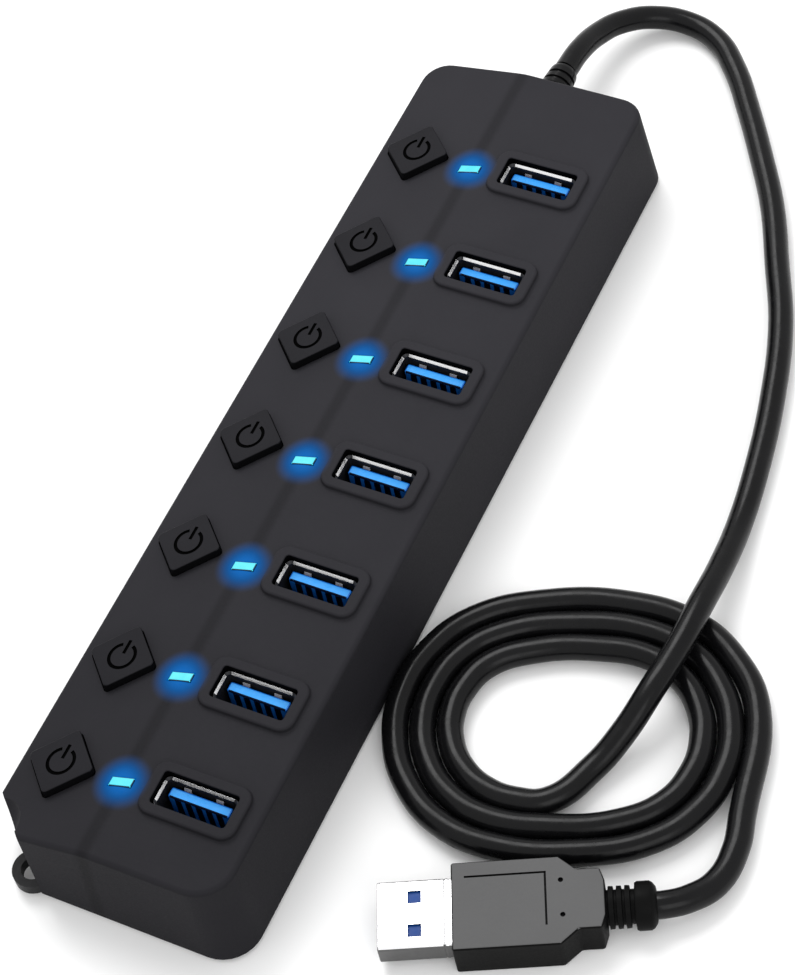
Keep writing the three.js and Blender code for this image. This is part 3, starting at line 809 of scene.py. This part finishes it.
def make_top_shell():
    """The hollow housing with its bezels and cut corner, and a window for each socket, button and light."""
    bm = bmesh.new()
    housing_solid(bm, 0, 0, EDGE_RADIUS, BASE_Z)
    shell = object_from("housing_shell", bm, MATERIALS["housing"])

    bezels = []
    for port in PORTS:
        bm = bmesh.new()
        bezel_solid(bm, *place_of(f"usb_socket_shell_{port}"))
        bezels.append(object_from(f"bezel_{port}", bm))
    boolean(shell, bezels, "UNION")

    bm = bmesh.new()
    housing_solid(bm, WALL, WALL, 0, BASE_Z - 1)
    cavity = object_from("cavity", bm)
    boolean(cavity, corner_cutters(-WALL), "DIFFERENCE")
    cutters = [cavity, *corner_cutters(0)]
    for port in PORTS:
        cutters += window_cutters(port)
    boolean(shell, cutters, "DIFFERENCE")
    shell.data.materials.clear()
    for look in ("housing", "inner"):
        shell.data.materials.append(MATERIALS[look])
    sockets = [place_of(f"usb_socket_shell_{port}") for port in PORTS]
    buttons = [place_of(f"power_button_{port}") for port in PORTS]
    # The upright walls inside the windows take the painted shade.
    for polygon in shell.data.polygons:
        upright = abs(polygon.normal.z) < 0.5
        polygon.material_index = 1 if upright and inside_window(polygon.center / MM, sockets, buttons) else 0
    shade(shell, 40)
    return piece(shell, ("top_shell",))


make_top_shell()


# ---- Buttons and lights ----


def on_deck(x, y, rise=0.0):
    """A frame whose Z stands square to the sloped deck, at a height above it."""
    tilt = Matrix.Rotation(-math.atan(SLOPE), 4, "Y")
    return Matrix.Translation((x, y, deck_height(x) + rise)) @ tilt


def deck_ring(outline, x, y, drop):
    """An outline lifted on to the sloped plane of the deck."""
    centre = deck_height(x)
    return [(x + px, y + py, centre + SLOPE * px - drop) for px, py in outline]


def arc_groove(bm, radius, width, gap, bottom, top):
    """A ring-shaped cutter with a gap at its top."""
    sections = []
    for step in range(29):
        angle = math.radians(90 + gap + (360 - 2 * gap) * step / 28)
        direction = Vector((math.cos(angle), math.sin(angle), 0))
        low, high = direction * (radius - width / 2), direction * (radius + width / 2)
        sections.append([low + Vector((0, 0, bottom)), high + Vector((0, 0, bottom)),
                         high + Vector((0, 0, top)), low + Vector((0, 0, top))])
    loft(bm, sections)


def make_button(port):
    """A square cap on its corner, with a flange and a stem beneath and a power sign let into its top."""
    x, y = place_of(f"power_button_{port}")
    bm = bmesh.new()
    cap = diamond(BUTTON_SIDE, BUTTON_RADIUS)
    flange = diamond(FLANGE_SIDE, FLANGE_RADIUS)
    rings = [[(x + px, y + py, BUTTON_BOTTOM) for px, py in flange], deck_ring(flange, x, y, FLANGE_DROP),
             deck_ring(diamond(FLANGE_SIDE - 0.3, 2), x, y, 2.4), deck_ring(cap, x, y, 2.4)]
    for step in range(5):
        angle = math.radians(90 * step / 4)
        inset = 0.25 * (1 - math.cos(angle))
        drop = 0.25 * (1 - math.sin(angle)) - BUTTON_RISE
        rings.append(deck_ring(diamond(BUTTON_SIDE - 2 * inset, BUTTON_RADIUS - inset * 0.8), x, y, drop))
    loft(bm, rings)
    button = object_from(f"button_cap_{port}", bm, MATERIALS["button"])

    stem = bmesh.new()
    bmesh.ops.create_cone(
        stem, cap_ends=True, segments=24, radius1=STEM_RADIUS, radius2=STEM_RADIUS, depth=STEM_LENGTH
    )
    turned(stem, Matrix.Translation((x, y, STEM_BOTTOM + STEM_LENGTH / 2)))
    boolean(button, [object_from("stem", stem)], "UNION")

    ring = bmesh.new()
    arc_groove(ring, ICON_RADIUS, ICON_WIDTH, ICON_GAP, -ICON_DEPTH, 0.6)
    bar = bmesh.new()
    box(bar, (-ICON_WIDTH / 2, ICON_BAR[0], -ICON_DEPTH), (ICON_WIDTH / 2, ICON_BAR[1], 0.6))
    frame_on_top = on_deck(x, y, BUTTON_RISE)
    tools = [
        object_from("sign_ring", turned(ring, frame_on_top)),
        object_from("sign_bar", turned(bar, frame_on_top)),
    ]
    boolean(button, tools, "DIFFERENCE")
    button.data.materials.clear()
    for look in ("button", "icon_in_shade", "button_side_in_shade"):
        button.data.materials.append(MATERIALS[look])
    inverse = frame_on_top.inverted()
    # Painted shade: the groove of the power sign and the sides of the cap take darker copies of the button
    # plastic.
    for polygon in button.data.polygons:
        spot = inverse @ (polygon.center / MM)
        inside = math.hypot(spot.x, spot.y) < ICON_REACH and -ICON_DEPTH - 0.02 < spot.z < -0.03
        polygon.material_index = 1 if inside else (2 if polygon.normal.z < 0.6 else 0)
    shade(button)
    piece(button, (f"power_button_{port}",), f"button_{port}")


def make_light(port):
    """A clear bar that comes up through the deck at its crease, lit from below."""
    x, y = place_of(f"light_window_{port}")
    width, depth = LIGHT_SIZE
    bm = bmesh.new()
    rings = []
    for inset, drop in ((0, None), (0, 0.05), (0.04, -0.07), (0.16, -0.12), (0.3, -0.12)):
        outline = rounded_rectangle(width - 2 * inset, depth - 2 * inset, max(0.35 - inset, 0.1), 3)
        outline = [(px, py + LIGHT_SKEW * px) for px, py in outline]
        if drop is None:
            rings.append([(x + px, y + py, LIGHT_BOTTOM) for px, py in outline])
        else:
            rings.append([(x + px, y + py, deck_height(x + px) - drop) for px, py in outline])
    loft(bm, rings)
    light = object_from(f"light_bar_{port}", bm, MATERIALS["light"])
    light.data.materials.append(MATERIALS["light_rim"])
    top = TOP_Z - 0.02
    for polygon in light.data.polygons:
        spot = polygon.center / MM
        across = spot.y - y - LIGHT_SKEW * (spot.x - x)
        rim = abs(spot.x - x) > width / 2 - LIGHT_RIM or abs(across) > depth / 2 - LIGHT_RIM
        polygon.material_index = 1 if rim or spot.z < top - 2 else 0
    shade(light)
    piece(light, (f"light_window_{port}",))


for port in PORTS:
    make_button(port)
    make_light(port)


# ---- Sockets ----


def make_socket_shell(port):
    """A thin steel box, open at the top, with spring fingers bent in from its long walls."""
    x, y = place_of(f"usb_socket_shell_{port}")
    bm = bmesh.new()
    rings = []
    wall, radius = SOCKET_WALL, SOCKET_RADIUS
    lip_foot = SOCKET_RIM - SOCKET_LIP
    for inset, z in ((0, SOCKET_BOTTOM), (0, SOCKET_RIM - 0.05), (0.05, SOCKET_RIM), (0.1, SOCKET_RIM),
                     (SOCKET_LIP, lip_foot), (wall, lip_foot - 0.15), (wall, SOCKET_BOTTOM)):
        outline = rounded_rectangle(SOCKET_SIZE[0] - 2 * inset, SOCKET_SIZE[1] - 2 * inset, radius - inset, 5)
        rings.append([(x + px, y + py, z) for px, py in outline])
    join_ends(bm, loft(bm, rings, closed=False))
    for side in (-1, 1):
        for along in (-FINGER_X, FINGER_X):
            add_finger(bm, x + along, y, side)
    shell = object_from(f"socket_box_{port}", bm, MATERIALS["dark_steel"])
    shell.data.materials.append(MATERIALS["steel"])
    shell.data.materials.append(MATERIALS["finger"])
    straight_x = SOCKET_SIZE[0] / 2 - radius
    straight_y = SOCKET_SIZE[1] / 2 - radius
    # Painted highlight on the rims of the far and the left walls; painted shade, a dark copy of the steel, on
    # the rest of the box.
    for polygon in shell.data.polygons:
        spot = polygon.center / MM
        lit_wall = spot.y - y > straight_y or x - spot.x > straight_x
        straight = abs(spot.x - x) < straight_x or abs(spot.y - y) < straight_y
        inside = abs(spot.y - y) < SOCKET_SIZE[1] / 2 - wall - 0.02
        if spot.z > lip_foot - 0.01 and straight and lit_wall:
            polygon.material_index = 1
        elif inside and abs(abs(spot.x - x) - FINGER_X) <= FINGER_WIDTH / 2 + 0.01 and spot.z > 15:
            polygon.material_index = 2
        else:
            polygon.material_index = 0
    shade(shell)
    piece(shell, (f"usb_socket_shell_{port}",))


def add_finger(bm, x, y, side):
    """A spring finger: a strip that leaves a long wall low down and bows inwards near the mouth."""
    wall = SOCKET_SIZE[1] / 2 - SOCKET_WALL
    path = [(wall + 0.1, 11), (wall - 0.05, 12), (wall - 0.32, 14.6), (wall - 0.5, 16.2), (wall - 0.46, 17.1),
            (wall - 0.18, 17.9)]
    half, thickness = FINGER_WIDTH / 2, FINGER_THICKNESS
    sections = []
    for depth, z in path:
        sections.append([(x + dx, y + side * (depth - dy), z) for dx, dy in
                         ((-half, 0), (half, 0), (half, thickness), (-half, thickness))])
    loft(bm, sections)


def make_socket_tongue(port):
    """The blue insulator: a base that fills the box, and a blade with five contact slots in its near face."""
    x, y = place_of(f"usb_socket_shell_{port}")
    bm = bmesh.new()
    box(bm, (x - BLOCK["x"], y - BLOCK["y"], SOCKET_BOTTOM), (x + BLOCK["x"], y + BLOCK["y"], BLOCK["top"]))
    tongue = object_from(f"socket_blade_{port}", bm, MATERIALS["blue"])
    blade = bmesh.new()
    half = BLADE["width"] / 2
    rings = []
    for inset, z in ((0, 8.5), (0, BLADE["top"] - 0.3), (0.1, BLADE["top"] - 0.09), (0.3, BLADE["top"])):
        depth = BLADE["far"] - BLADE["near"] - 2 * inset
        outline = rounded_rectangle(2 * (half - inset), depth, 0.35 - inset, 3)
        middle = (BLADE["near"] + BLADE["far"]) / 2
        rings.append([(x + px, y + middle + py, z) for px, py in outline])
    loft(blade, rings)
    boolean(tongue, [object_from("blade", blade)], "UNION")
    slots = []
    for index in range(-2, 3):
        slot = bmesh.new()
        centre = x + index * NOTCH_PITCH
        box(slot, (centre - NOTCH_WIDTH / 2, y + BLADE["near"] - 1, 10.2),
            (centre + NOTCH_WIDTH / 2, y + BLADE["near"] + NOTCH_DEPTH, BLADE["top"] - 0.32))
        slots.append(object_from("slot", slot))
    boolean(tongue, slots, "DIFFERENCE")
    tongue.data.materials.clear()
    for look in ("blue", "blue_top_lit", "slot_in_shade"):
        tongue.data.materials.append(MATERIALS[look])
    # Painted highlight on the blade's top, painted shade in the contact slots.
    for polygon in tongue.data.polygons:
        spot = polygon.center / MM
        within_slot = y + BLADE["near"] + 0.02 < spot.y <= y + BLADE["near"] + NOTCH_DEPTH + 0.01
        if spot.z > BLADE["top"] - 0.02:
            polygon.material_index = 1
        elif within_slot and 10 < spot.z and abs(spot.x - x) < 4.6:
            polygon.material_index = 2
        else:
            polygon.material_index = 0
    shade(tongue)
    piece(tongue, (f"usb_socket_tongue_{port}",))


for port in PORTS:
    make_socket_shell(port)
    make_socket_tongue(port)


# ---- Plug ----

PLUG_FRAME = Matrix.Translation(PLUG_PLACE) @ Matrix.Rotation(math.radians(PLUG_HEADING), 4, "Z")


def plug_object(name, bm, material=None):
    """An object built in the plug's own frame."""
    return object_from(name, turned(bm, PLUG_FRAME), material)


def assign_by_height(target, lit_look, shaded_look):
    """Gives the faces that look up one material and all the others another: a painted lit copy on top and a
    painted shaded copy on the rest.
    """
    target.data.materials.clear()
    for look in (shaded_look, lit_look):
        target.data.materials.append(MATERIALS[look])
    for polygon in target.data.polygons:
        polygon.material_index = 1 if polygon.normal.z > 0.75 else 0


def make_plug_grip():
    """The moulded grip with its stepped outline, ribbed boot, two grooves and two dots."""
    half = GRIP_THICKNESS / 2
    outline = [*GRIP_OUTLINE, *((x, -y) for x, y in reversed(GRIP_OUTLINE))]
    bm = bmesh.new()
    prism(bm, outline, -half, half)
    bmesh.ops.recalc_face_normals(bm, faces=bm.faces)
    edges = [edge for edge in bm.edges if edge.calc_face_angle() > math.radians(20)]
    bmesh.ops.bevel(bm, geom=edges, offset=0.4, segments=3, affect="EDGES", profile=0.5)
    grip = plug_object("plug_body", bm)

    boot = bmesh.new()
    profile = list(BOOT_COLLAR)
    for x in BOOT_RIBS:
        profile += [(3.35, x), (3.4, x + 0.75), (2.8, x + 0.85), (2.8, x + 1.2)]
    profile += [(3.4, 1.1), (3.4, 3)]
    lathe(boot, profile, lambda along, across, up: (along, across, up))
    boolean(grip, [plug_object("boot", boot)], "UNION")

    pocket = bmesh.new()
    box(pocket, (SHELL_BACK - 0.3, -6.3, -2.55), (26, 6.3, 2.55))
    tools = [plug_object("pocket", pocket)]
    for low, high in GRIP_GROOVES:
        groove = bmesh.new()
        box(groove, (*low, half - GROOVE_DEPTH), (*high, half + 1))
        tools.append(plug_object("groove", groove))
    for x, y in GRIP_DOTS:
        dot = bmesh.new()
        bmesh.ops.create_cone(
            dot, cap_ends=True, segments=16, radius1=DOT_RADIUS, radius2=DOT_RADIUS, depth=1
        )
        tools.append(plug_object("dot", turned(dot, Matrix.Translation((x, y, half)))))
    boolean(grip, tools, "DIFFERENCE")
    assign_by_height(grip, "grip", "grip_side_in_shade")
    # Painted shade: the floors of the grooves and the whole boot take the dark side copy.
    top = (PLUG_PLACE[2] + half - 0.1) * MM
    inverse = PLUG_FRAME.inverted()
    for polygon in grip.data.polygons:
        if polygon.center.z < top and polygon.center.z > top - 0.4 * MM and polygon.normal.z > 0.95:
            polygon.material_index = 0
        if (inverse @ (polygon.center / MM)).x < 0.9:
            polygon.material_index = 0
    shade(grip)
    piece(grip, ("plug_grip",))


def make_plug_shell():
    """The plug's steel tube, open at both ends, with two square holes through it."""
    width, height = SHELL_SIZE
    wall = SHELL_WALL
    sections = []
    for x, inset in SHELL_PROFILE:
        outline = rounded_rectangle(width - 2 * inset, height - 2 * inset, 0.6 - inset, 4)
        sections.append((x, outline))
    for x in (SHELL_FRONT, SHELL_BACK):
        sections.append((x, rounded_rectangle(width - 2 * wall, height - 2 * wall, 0.3, 4)))
    bm = bmesh.new()
    join_ends(bm, loft(bm, [[(x, py, pz) for py, pz in outline] for x, outline in sections], closed=False))
    shell = plug_object("plug_box", bm)
    holes = []
    for side in (-1, 1):
        hole = bmesh.new()
        box(hole, (HOLE_X - HOLE_SIDE / 2, side * HOLE_Y - HOLE_SIDE / 2, -5),
            (HOLE_X + HOLE_SIDE / 2, side * HOLE_Y + HOLE_SIDE / 2, 5))
        holes.append(plug_object("hole", hole))
    boolean(shell, holes, "DIFFERENCE")
    # Painted highlight on the shell's top faces, painted shade on its sides.
    assign_by_height(shell, "steel", "side_steel")
    shade(shell)
    piece(shell, ("plug_shell",))


def make_plug_tongue():
    """The blue insulator in the plug, under the shell's top wall."""
    bm = bmesh.new()
    box(bm, *PLUG_BLADE)
    bmesh.ops.bevel(bm, geom=list(bm.edges), offset=0.12, segments=2, affect="EDGES", profile=0.5)
    tongue = plug_object("plug_blade", bm, MATERIALS["plug_blue"])
    shade(tongue)
    piece(tongue, ("plug_tongue",))


make_plug_grip()
make_plug_shell()
make_plug_tongue()


# ---- Strain relief, and the nodes kept from the CAD ----

def make_strain_relief():
    """A flange inside the wall, a neck through it, and a ribbed taper outside."""
    profile = list(RELIEF_BACK)
    for step in range(4):
        y = 89.6 + 1.7 * step
        radius = 3.25 - 0.17 * step
        neck = radius - 0.35
        profile += [(neck, y), (neck, y + 0.4), (radius, y + 0.55), (radius - 0.05, y + 1.5)]
    profile += RELIEF_TIP
    bm = bmesh.new()
    lathe(bm, profile, lambda along, across, up: (across, along, RELIEF_AXIS_Z + up))
    relief = object_from("ribbed_relief", bm, MATERIALS["cable"])
    shade(relief, 40)
    piece(relief, ("cable_strain_relief",))


def dress_nodes():
    """Gives each kept node its material and a small bevel on its edges."""
    for name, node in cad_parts.items():
        for start, (look, width) in NODE_LOOKS.items():
            if name.startswith(start):
                node.data.materials.clear()
                node.data.materials.append(MATERIALS[look])
                bevel(node, width)


make_strain_relief()
dress_nodes()
